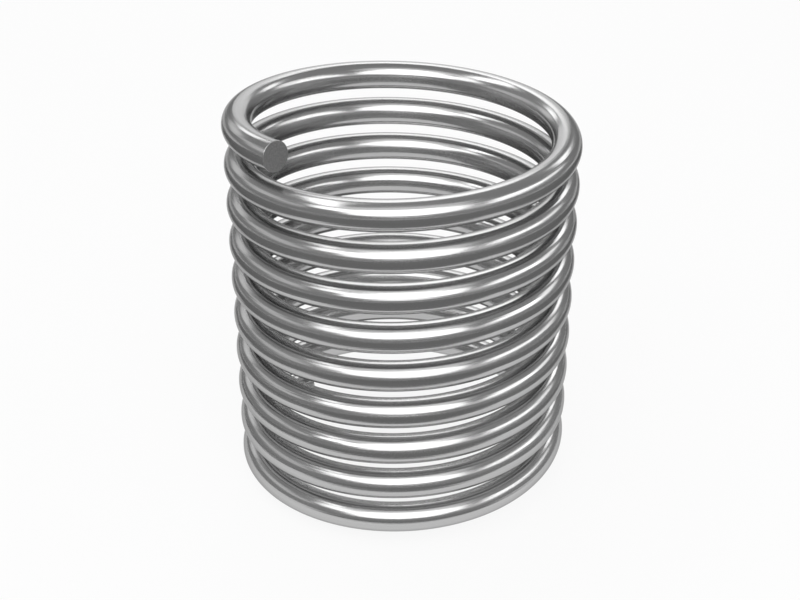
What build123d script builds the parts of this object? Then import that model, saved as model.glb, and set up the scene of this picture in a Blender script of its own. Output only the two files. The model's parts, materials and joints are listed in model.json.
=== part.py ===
from build123d import *
import os
from math import atan, cos, hypot, pi

# A small open-coil compression spring: one length of round steel wire, cold
# coiled right-handed at one diameter and one pitch. Both ends are plain: the
# wire carries on at the same pitch and is cut off square to itself, neither
# closed down nor ground. Millimetres. +Z is the coil axis, the spring stands
# on z = 0, and the wire climbs anticlockwise as seen from above.

# The wire.
wire_diameter = 1.6

# The coil, relaxed.
inside_diameter = 15.8       # the rod that would just fill the coil
coil_gap = 0.63              # daylight between one turn and the next
total_coils = 9.25
lower_end_bearing = 180      # degrees about +Z from +X, where the wire starts

# Worked out from the sizes above.
wire_radius = wire_diameter / 2
mean_radius = inside_diameter / 2 + wire_radius
pitch = wire_diameter + coil_gap
rise = total_coils * pitch
turn_circumference = 2 * pi * mean_radius
lead_angle = atan(pitch / turn_circumference)
wire_length = total_coils * hypot(turn_circumference, pitch)
seat_height = wire_radius * cos(lead_angle)
free_length = rise + 2 * seat_height


def wire_centreline():
    """The helix that the middle of the wire follows, from the lower end up to the upper end.

    It starts at seat_height, the reach of the tilted round end face below its
    own centre, so the lowest point of the lower end is on z = 0.
    """
    helix = Helix(pitch=pitch, height=rise, radius=mean_radius)
    return Pos(Z=seat_height) * Rot(Z=lower_end_bearing) * helix


def wire_section(centreline):
    """The round section at the lower end, square to the wire, with its X pointing out from the coil.

    Its rim is four quarter arcs, so the wire's skin is swept as four long
    strips, which facet far more evenly than one strip wrapped right round.
    """
    centre = centreline @ 0
    outward = Vector(centre.X, centre.Y, 0)
    plane = Plane(origin=centre, x_dir=outward, z_dir=centreline % 0)
    rim = [CenterArc((0, 0), wire_radius, start, 90) for start in (0, 90, 180, 270)]
    return plane * make_face(rim)


def coiled_wire():
    """The round wire carried along its centreline, square to it from end to end."""
    centreline = wire_centreline()
    return sweep(wire_section(centreline), path=centreline, is_frenet=True)


def write_part(shape, node):
    """Writes one node of the part as a STEP file in the parts folder."""
    os.makedirs("parts", exist_ok=True)
    shape.label = node
    export_step(shape, f"parts/{node}.step")


spring_wire = coiled_wire()
write_part(spring_wire, "spring_wire")

section_area = pi * wire_radius**2
print(f"free length {free_length:.3f} mm, wire length {wire_length:.2f} mm")
print(f"volume {spring_wire.volume:.2f} mm3, section times length {section_area * wire_length:.2f} mm3")
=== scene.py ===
import json
import math

import bpy
import numpy as np
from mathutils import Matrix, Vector


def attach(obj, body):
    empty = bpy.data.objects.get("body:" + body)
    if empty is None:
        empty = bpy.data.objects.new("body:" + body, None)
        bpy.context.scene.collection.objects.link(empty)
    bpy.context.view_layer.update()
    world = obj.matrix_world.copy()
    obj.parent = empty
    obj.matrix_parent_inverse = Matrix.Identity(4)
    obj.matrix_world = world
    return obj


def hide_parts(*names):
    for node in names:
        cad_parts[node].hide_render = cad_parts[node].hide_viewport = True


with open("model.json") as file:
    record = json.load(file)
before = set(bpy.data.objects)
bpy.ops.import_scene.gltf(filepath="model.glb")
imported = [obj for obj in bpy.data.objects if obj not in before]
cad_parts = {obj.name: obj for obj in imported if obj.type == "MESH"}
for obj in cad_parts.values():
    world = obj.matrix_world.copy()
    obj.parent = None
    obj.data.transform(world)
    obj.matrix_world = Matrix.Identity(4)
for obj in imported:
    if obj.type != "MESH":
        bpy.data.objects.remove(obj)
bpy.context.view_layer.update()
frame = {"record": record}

# ---------------------------------------------------------------- the spring's sizes, in metres

MM = 0.001
TOTAL_COILS = 9.25
LOWER_END_BEARING = math.pi      # the wire starts on -X
EDGE_BREAK = 0.02 * MM           # burr taken off round each cut end


def mount(name):
    """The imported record's entry for one of the spring's interfaces."""
    return next(m for m in frame["record"]["mounts"] if m["name"] == name)


inner_radius = mount("guide_bore")["dims"]["r_mm"] * MM
outer_radius = mount("pocket")["dims"]["r_mm"] * MM
free_length = mount("guide_bore")["dims"]["length_mm"] * MM
wire_radius = (outer_radius - inner_radius) / 2
mean_radius = (outer_radius + inner_radius) / 2

# The wire's centre climbs from one seat height above the floor to one below the top. That height depends a
# little on the lead angle, so the angle is worked out twice.
turns_from_above = TOTAL_COILS * math.tau * mean_radius
first_lead_angle = math.atan((free_length - 2 * wire_radius) / turns_from_above)
seat_height = wire_radius * math.cos(first_lead_angle)
lead_angle = math.atan((free_length - 2 * seat_height) / turns_from_above)
wire_length = turns_from_above / math.cos(lead_angle)


# ---------------------------------------------------------------- colours and nodes


def srgb(hex_colour):
    """A hex sRGB colour as linear RGBA."""
    values = [int(hex_colour[i:i + 2], 16) / 255 for i in (1, 3, 5)]
    return [v / 12.92 if v <= 0.04045 else ((v + 0.055) / 1.055) ** 2.4 for v in values] + [1.0]


def add(tree, kind, settings=None, **inputs):
    """Adds one node with its settings; each input is a value, or a (node, output) pair to link from.

    An input goes by its name, with underscores for spaces, or by i and its number.
    """
    node = tree.nodes.new(kind)
    for name, value in (settings or {}).items():
        setattr(node, name, value)
    for name, value in inputs.items():
        socket = node.inputs[int(name[1:]) if name[1:].isdigit() else name.replace("_", " ")]
        if isinstance(value, tuple) and isinstance(value[0], bpy.types.Node):
            tree.links.new(value[0].outputs[value[1]], socket)
        else:
            socket.default_value = value
    return node


def new_material(name):
    """An empty node material, its node tree and its output, ready for a shader."""
    material = bpy.data.materials.new(name)
    material.use_nodes = True
    material.node_tree.nodes.clear()
    return material, material.node_tree, material.node_tree.nodes.new("ShaderNodeOutputMaterial")


def wire_pattern(tree, spacing_across, spacing_along, detail):
    """Noise with marks this many millimetres apart across the wire and along it.

    It reads each point's place on the wire before it was coiled, in
    millimetres, so the marks follow the wire round.
    """
    straight = add(tree, "ShaderNodeAttribute", {"attribute_name": "straight_wire"})
    marks_a_mm = (1 / spacing_across, 1 / spacing_across, 1 / spacing_along)
    stretched = add(tree, "ShaderNodeVectorMath", {"operation": "MULTIPLY"},
                    i0=(straight, "Vector"), i1=marks_a_mm)
    return add(tree, "ShaderNodeTexNoise", Vector=(stretched, 0), Scale=1.0, Detail=detail)


PATTERN_LOW, PATTERN_HIGH = 0.3, 0.7     # most of a noise pattern lies between these


def bright_drawn_spring_steel():
    """Hard-drawn spring steel wire: pulled bright through a die, coiled cold and left with a film of oil.

    The die leaves fine lines along the wire, which comb the edges of the
    highlights into streaks. Real ones are some 0.03 mm apart and up to a
    micron deep. These are 0.16 mm apart so that they show, and some 5 microns
    deep, which is the usual swing of a pattern whose whole range is 12.
    Handling leaves slow patches where the film is thicker and the steel a
    little duller. Iron brightens less towards a grazing view than other
    metals do, and the oil dulls it more there: the edge tint.
    """
    material, tree, output = new_material("bright_drawn_spring_steel")
    die_lines = wire_pattern(tree, spacing_across=0.16, spacing_along=18.0, detail=3.0)
    film = wire_pattern(tree, spacing_across=2.0, spacing_along=8.0, detail=2.0)
    line_gloss = add(tree, "ShaderNodeMapRange", Value=(die_lines, 0),
                     From_Min=PATTERN_LOW, From_Max=PATTERN_HIGH, To_Min=-0.03, To_Max=0.03)
    film_gloss = add(tree, "ShaderNodeMapRange", Value=(film, 0),
                     From_Min=PATTERN_LOW, From_Max=PATTERN_HIGH, To_Min=0.18, To_Max=0.23)
    gloss = add(tree, "ShaderNodeMath", {"operation": "ADD"}, i0=(line_gloss, 0), i1=(film_gloss, 0))
    tone = add(tree, "ShaderNodeMix", {"data_type": "RGBA"},
               Factor=(die_lines, 0), i6=srgb("#b7b7b7"), i7=srgb("#c2c2c2"))
    relief = add(tree, "ShaderNodeBump", Strength=1.0, Distance=0.012 * MM, Height=(die_lines, 0))
    steel = add(tree, "ShaderNodeBsdfPrincipled", Metallic=1.0, Roughness=(gloss, 0), Base_Color=(tone, 2),
                Specular_Tint=srgb("#c4c4c4"), Normal=(relief, 0))
    tree.links.new(steel.outputs["BSDF"], output.inputs["Surface"])
    return material


def sheared_wire_end():
    """The cut across the wire: torn steel, dull and darker than the drawn skin.

    Its grain is about 0.02 mm wide on the real wire, and 0.08 mm here so that
    it shows. It is up to 3 microns deep.
    """
    material, tree, output = new_material("sheared_wire_end")
    grain = wire_pattern(tree, spacing_across=0.08, spacing_along=0.08, detail=4.0)
    tone = add(tree, "ShaderNodeMix", {"data_type": "RGBA"},
               Factor=(grain, 0), i6=srgb("#868686"), i7=srgb("#b4b4b4"))
    relief = add(tree, "ShaderNodeBump", Strength=1.0, Distance=0.003 * MM, Height=(grain, 0))
    steel = add(tree, "ShaderNodeBsdfPrincipled", Metallic=1.0, Roughness=0.6, Base_Color=(tone, 2),
                Normal=(relief, 0))
    tree.links.new(steel.outputs["BSDF"], output.inputs["Surface"])
    return material


# ---------------------------------------------------------------- the wire

AROUND = 48                      # facets round the wire
ROWS_A_TURN = 176                # rings of facets in one turn of the coil
CAP_RINGS = 6                    # rings from the centre of a cut face to its rim, with the centre
EDGE_STEPS = 5                   # facets round the edge break's quarter circle
SLIT_ANGLE = -math.pi            # where each ring starts: on the side that faces the coil's axis
MAP_GAP = 0.4 * MM               # left free between the parts of the unrolled map


def wire_profile():
    """The straight wire as a turned profile: distance along it, radius there, and the slope of its skin.

    From the centre of the lower cut face out to its rim, round the small edge
    break in a quarter circle, along the skin, and the same in reverse to the
    centre of the upper cut face. The slope is the angle of the outward normal
    from pointing back along the wire: 0 on the lower face, a right angle on
    the skin, and a straight angle on the upper face.
    """
    face_radius = np.linspace(0, wire_radius - EDGE_BREAK, CAP_RINGS)
    turn = np.linspace(0, np.pi / 2, EDGE_STEPS + 1)[1:]
    edge_along = EDGE_BREAK * (1 - np.cos(turn))
    edge_radius = wire_radius - EDGE_BREAK + EDGE_BREAK * np.sin(turn)
    skin_along = np.linspace(EDGE_BREAK, wire_length / 2, round(TOTAL_COILS * ROWS_A_TURN / 2))[1:]
    half_along = np.concatenate([0 * face_radius, edge_along, skin_along])
    half_radius = np.concatenate([face_radius, edge_radius, 0 * skin_along + wire_radius])
    half_slope = np.concatenate([0 * face_radius, turn, 0 * skin_along + np.pi / 2])
    along = np.concatenate([half_along, wire_length - half_along[-2::-1]])
    radius = np.concatenate([half_radius, half_radius[-2::-1]])
    slope = np.concatenate([half_slope, np.pi - half_slope[-2::-1]])
    return along, radius, slope


def coil_frame(along):
    """Where the wire's centre is at each distance along it, and its tangent, outward and upward directions.

    The centre climbs at the lead angle round a circle of the mean radius. The
    upward direction is the outward one crossed with the tangent.
    """
    bearing = LOWER_END_BEARING + along * math.cos(lead_angle) / mean_radius
    cos_b, sin_b, zero = np.cos(bearing), np.sin(bearing), np.zeros_like(bearing)
    height = seat_height + along * math.sin(lead_angle)
    centre = np.stack([mean_radius * cos_b, mean_radius * sin_b, height], -1)
    flat, steep = math.cos(lead_angle), math.sin(lead_angle)
    tangent = np.stack([-flat * sin_b, flat * cos_b, zero + steep], -1)
    outward = np.stack([cos_b, sin_b, zero], -1)
    upward = np.stack([steep * sin_b, -steep * cos_b, zero + flat], -1)
    return centre, tangent, outward, upward


def closed_grid_faces(rows, around):
    """Faces of a grid that wraps round on itself and closes to one point at its first and last row."""
    ring = np.arange(around)
    after = (ring + 1) % around
    row = 1 + around * np.arange(rows - 3)[:, None]
    quads = np.stack([row + ring, row + around + ring, row + around + after, row + after], -1)
    last = 1 + around * (rows - 2)
    top = last - around
    start_fan = np.stack([0 * ring, 1 + ring, 1 + after], -1)
    end_fan = np.stack([0 * ring + last, top + after, top + ring], -1)
    return quads.reshape(-1, 4), start_fan, end_fan


def unrolled_map(along, radius):
    """Where each face corner lies on a flat square: the wire slit along the coil's inside and unrolled.

    Each turn takes one row, drawn at one scale both ways. The two cut faces
    are discs, a third and two thirds along what the last, part turn leaves of
    its row. The upper one is turned over, because it faces the other way
    along the wire.
    """
    strip, column = np.arange(len(along) - 1)[:, None, None], np.arange(AROUND)[:, None]
    point = strip + np.array([0, 1, 1, 0])
    angle = SLIT_ANGLE + (column + np.array([0, 0, 1, 1])) * math.tau / AROUND
    rows = math.ceil(TOTAL_COILS)
    row_length = wire_length / TOTAL_COILS
    row_height = math.tau * wire_radius + MAP_GAP
    row = np.floor((along[strip] + along[strip + 1]) / 2 / row_length)
    skin = along[point] - row * row_length, row * row_height + (angle - SLIT_ANGLE) * wire_radius

    spare_length = (rows - TOTAL_COILS) * row_length
    disc_height = (rows - 0.5) * row_height
    aside, upright = radius[point] * np.cos(angle), radius[point] * np.sin(angle)
    lower_disc = row_length - spare_length * 2 / 3 + aside, disc_height + upright
    upper_disc = row_length - spare_length / 3 - aside, disc_height + upright

    on_disc = [strip < CAP_RINGS - 1, strip > len(along) - 1 - CAP_RINGS]
    place = np.stack([np.select(on_disc, discs, on_skin)
                      for *discs, on_skin in zip(lower_disc, upper_disc, skin)], -1)
    place = (place + MAP_GAP) / (row_length + 2 * MAP_GAP)
    start_fan, end_fan = place[0][:, :3], place[-1][:, [1, 3, 0]]
    return np.concatenate([corners.reshape(-1, 2) for corners in (start_fan, place[1:-1], end_fan)])


def wire_mesh():
    """The coiled wire as one closed skin: the turned profile carried along the helix, square to it."""
    along, radius, slope = wire_profile()
    angle = SLIT_ANGLE + np.arange(AROUND) * math.tau / AROUND
    centre, tangent, outward, upward = coil_frame(along)
    spoke = np.cos(angle)[:, None] * outward[:, None] + np.sin(angle)[:, None] * upward[:, None]
    points = centre[:, None] + radius[:, None, None] * spoke
    normals = np.sin(slope)[:, None, None] * spoke - np.cos(slope)[:, None, None] * tangent[:, None]
    straight = np.stack(np.broadcast_arrays(radius[:, None] * np.cos(angle), radius[:, None] * np.sin(angle),
                                            along[:, None]), -1) / MM
    quads, start_fan, end_fan = closed_grid_faces(len(along), AROUND)

    def poles_once(grid):
        return np.concatenate([grid[:1, 0], grid[1:-1].reshape(-1, 3), grid[-1:, 0]])

    mesh = bpy.data.meshes.new("coiled_wire")
    mesh.from_pydata(poles_once(points), [], [*start_fan.tolist(), *quads.tolist(), *end_fan.tolist()])
    straight_wire = mesh.attributes.new("straight_wire", "FLOAT_VECTOR", "POINT")
    straight_wire.data.foreach_set("vector", poles_once(straight).ravel().astype(np.float32))
    # the name that the export's bake looks for
    bake_map = mesh.uv_layers.new(name="OFBake")     # the wire unrolled flat, one turn to a row
    bake_map.uv.foreach_set("vector", unrolled_map(along, radius).ravel().astype(np.float32))
    mesh.polygons.foreach_set("use_smooth", np.ones(len(mesh.polygons), bool))
    mesh.normals_split_custom_set_from_vertices(poles_once(normals))
    return mesh


def build_wire():
    """The coiled wire, in drawn steel with sheared ends, standing for the CAD wire."""
    mesh = wire_mesh()
    mesh.materials.append(bright_drawn_spring_steel())
    mesh.materials.append(sheared_wire_end())
    faces_on_end = AROUND * (CAP_RINGS - 1)
    material_of_face = np.zeros(len(mesh.polygons), np.int32)
    material_of_face[:faces_on_end] = 1
    material_of_face[-faces_on_end:] = 1
    mesh.polygons.foreach_set("material_index", material_of_face)
    wire = bpy.data.objects.new("coiled_wire", mesh)
    bpy.context.scene.collection.objects.link(wire)
    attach(wire, "root")
    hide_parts("spring_wire")


# ---------------------------------------------------------------- the camera

VIEW_AZIMUTH = 45
VIEW_ELEVATION = 28.433
VIEW_DISTANCE = 72.209 * MM
LENS_MM = 57.2014
SENSOR_MM = 36
FRAME_SHAPE = 3 / 4              # the picture's height over its width
AIM_ASIDE = -0.134 * MM          # the aim is this far right of the coil's axis in the picture
AIM_HEIGHT = 10.21 * MM


def towards(azimuth, elevation):
    """The direction at a view's azimuth and elevation in degrees: azimuth 0 is -Y and 90 is +X."""
    a, e = math.radians(azimuth), math.radians(elevation)
    return Vector((math.sin(a) * math.cos(e), -math.cos(a) * math.cos(e), math.sin(e)))


def camera_place():
    """The point that the camera looks from."""
    aside = math.radians(VIEW_AZIMUTH)
    aim = Vector((AIM_ASIDE * math.cos(aside), AIM_ASIDE * math.sin(aside), AIM_HEIGHT))
    return aim + VIEW_DISTANCE * towards(VIEW_AZIMUTH, VIEW_ELEVATION)


def build_camera():
    """A short telephoto view from the front corner, looking a little down on the spring."""
    data = bpy.data.cameras.new("camera")
    data.sensor_width = SENSOR_MM
    data.lens = LENS_MM
    data.clip_start = 1 * MM
    camera = bpy.data.objects.new("camera", data)
    camera.location = camera_place()
    camera.rotation_euler = towards(VIEW_AZIMUTH, VIEW_ELEVATION).to_track_quat("Z", "Y").to_euler()
    bpy.context.scene.collection.objects.link(camera)
    bpy.context.scene.camera = camera


# ---------------------------------------------------------------- the floor and the dark cards

FLOOR_RADIUS = 1600 * MM
FLOOR_SIDES = 128
FLOOR_WHITE = 0.88               # how much of the floor is plain white to the eye and in the steel
CARD_MARGIN = 1.03               # the cards start this much outside what the camera sees of the floor
CARD_LIFT = 0.2 * MM             # they lie this far above it
CARD_REACH = 400 * MM            # and run out this far


def flat_piece(name, corners, material):
    """One flat face through its corners: part of the studio, not of the spring."""
    mesh = bpy.data.meshes.new(name)
    mesh.from_pydata(corners, [], [list(range(len(corners)))])
    mesh.materials.append(material)
    piece = bpy.data.objects.new(name, mesh)
    bpy.context.scene.collection.objects.link(piece)
    return piece


def pale_floor_paint():
    """Matt white paint that shows nearly white to the eye and in the steel, and still takes a soft shadow."""
    material, tree, output = new_material("pale_floor_paint")
    paint = add(tree, "ShaderNodeBsdfDiffuse", Color=srgb("#ebebeb"))
    white = add(tree, "ShaderNodeEmission", Color=srgb("#ffffff"), Strength=1.0)
    light_path = add(tree, "ShaderNodeLightPath")
    mirrored = add(tree, "ShaderNodeMath", {"operation": "ADD"},
                   i0=(light_path, "Is Glossy Ray"), i1=(light_path, "Is Transmission Ray"))
    seen = add(tree, "ShaderNodeMath", {"operation": "ADD"},
               i0=(light_path, "Is Camera Ray"), i1=(mirrored, 0))
    share = add(tree, "ShaderNodeMath", {"operation": "MULTIPLY"}, i0=(seen, 0), i1=FLOOR_WHITE)
    mix = add(tree, "ShaderNodeMixShader", i0=(share, 0), i1=(paint, 0), i2=(white, 0))
    tree.links.new(mix.outputs["Shader"], output.inputs["Surface"])
    return material


def build_floor():
    """A plain pale floor: a round disc level with the spring's foot."""
    angle = np.arange(FLOOR_SIDES) * math.tau / FLOOR_SIDES
    rim = np.stack([FLOOR_RADIUS * np.cos(angle), FLOOR_RADIUS * np.sin(angle), 0 * angle], -1)
    flat_piece("floor", rim, pale_floor_paint())


def dark_card_stock():
    """Dark grey card, with an even tone from every side."""
    material, tree, output = new_material("dark_card_stock")
    card = add(tree, "ShaderNodeEmission", Color=srgb("#858585"), Strength=1.0)
    tree.links.new(card.outputs["Emission"], output.inputs["Surface"])
    return material


def build_dark_cards():
    """Dark cards laid on the floor just outside the picture, in front and at both sides.

    They give the bright steel the dark bands that it shows, and only the
    steel sees them. Each edge follows the edge of what the camera sees of the
    floor: the camera's ray through a corner of the picture, run down to it.
    """
    eye = np.array(camera_place())
    back = np.array(towards(VIEW_AZIMUTH, VIEW_ELEVATION))
    right = np.array([math.cos(math.radians(VIEW_AZIMUTH)), math.sin(math.radians(VIEW_AZIMUTH)), 0])
    up = np.cross(back, right)
    half_width = SENSOR_MM / 2 / LENS_MM * CARD_MARGIN

    def floor_corner(side, level):
        ray = half_width * (side * right + level * FRAME_SHAPE * up) - back
        return eye - ray * (eye[2] - CARD_LIFT) / ray[2]

    stock = dark_card_stock()
    near_left, near_right = floor_corner(-1, -1), floor_corner(1, -1)
    far_left, far_right = floor_corner(-1, 1), floor_corner(1, 1)
    forward = np.array([back[0], back[1], 0]) / math.hypot(back[0], back[1])
    reach_front, reach_side = CARD_REACH * forward, CARD_REACH * right
    cards = {
        "front_card": [near_left - reach_side, near_left, near_right, near_right + reach_side,
                       near_right + reach_side + reach_front, near_left - reach_side + reach_front],
        "left_card": [near_left, near_left - reach_side, far_left - reach_side, far_left],
        "right_card": [near_right, far_right, far_right + reach_side, near_right + reach_side],
    }
    for name, corners in cards.items():
        card = flat_piece(name, corners, stock)
        card.visible_camera = False
        card.visible_diffuse = False
        card.visible_shadow = False


# ---------------------------------------------------------------- the lamps and the room

LAMP_DISTANCE = 250 * MM


def soft_box(name, azimuth, elevation, width_mm, height_mm, radiance):
    """A soft lamp that faces the spring from one direction, with the radiance that a mirror shows of it.

    A flat lamp's radiance is its power over pi and over its area, and an
    ellipse's area is a quarter of pi times its width and its height.
    """
    data = bpy.data.lights.new(name, "AREA")
    data.shape = "ELLIPSE"
    data.size = width_mm * MM
    data.size_y = height_mm * MM
    data.energy = radiance * math.pi * math.pi / 4 * data.size * data.size_y
    lamp = bpy.data.objects.new(name, data)
    lamp.location = Vector((0, 0, free_length / 2)) + LAMP_DISTANCE * towards(azimuth, elevation)
    lamp.rotation_euler = towards(azimuth, elevation).to_track_quat("Z", "Y").to_euler()
    lamp.visible_camera = False
    bpy.context.scene.collection.objects.link(lamp)


def build_lamps():
    """A big soft box high at the front, smaller ones and strips at the left and right, and two behind."""
    # name, azimuth, elevation, width and height in mm, radiance
    soft_box("front_soft_box", 43, 40, 350, 215, 2.2)
    soft_box("front_feather", 42, 70, 280, 110, 0.65)

    soft_box("left_soft_box", -11, 42, 90, 80, 2.2)
    soft_box("left_low_strip", -50, 24, 280, 60, 0.5)
    soft_box("left_overhead_strip", -64, 62, 220, 50, 2.8)
    soft_box("left_panel", -94, 19, 100, 70, 0.75)
    soft_box("left_spot", -110, 30, 60, 50, 2.3)

    soft_box("right_panel", 95, 22, 140, 70, 0.45)
    soft_box("right_strip", 120, 30, 180, 65, 2.1)
    soft_box("right_far_strip", 149, 26, 140, 55, 1.5)
    soft_box("right_spot", 185, 33, 75, 55, 2.5)

    soft_box("back_soft_box", 225, 43, 120, 110, 1.9)
    soft_box("back_low_box", 224, 17, 150, 120, 1.05)


def build_room():
    """An even grey room all round, for the steel to mirror between the lamps."""
    world = bpy.data.worlds.new("grey_room")
    world.use_nodes = True
    background = world.node_tree.nodes["Background"]
    background.inputs["Color"].default_value = srgb("#9a9a9a")
    background.inputs["Strength"].default_value = 1.0
    bpy.context.scene.world = world


build_wire()
build_floor()
build_dark_cards()
build_lamps()
build_room()
build_camera()
bpy.context.scene.view_settings.view_transform = "Standard"
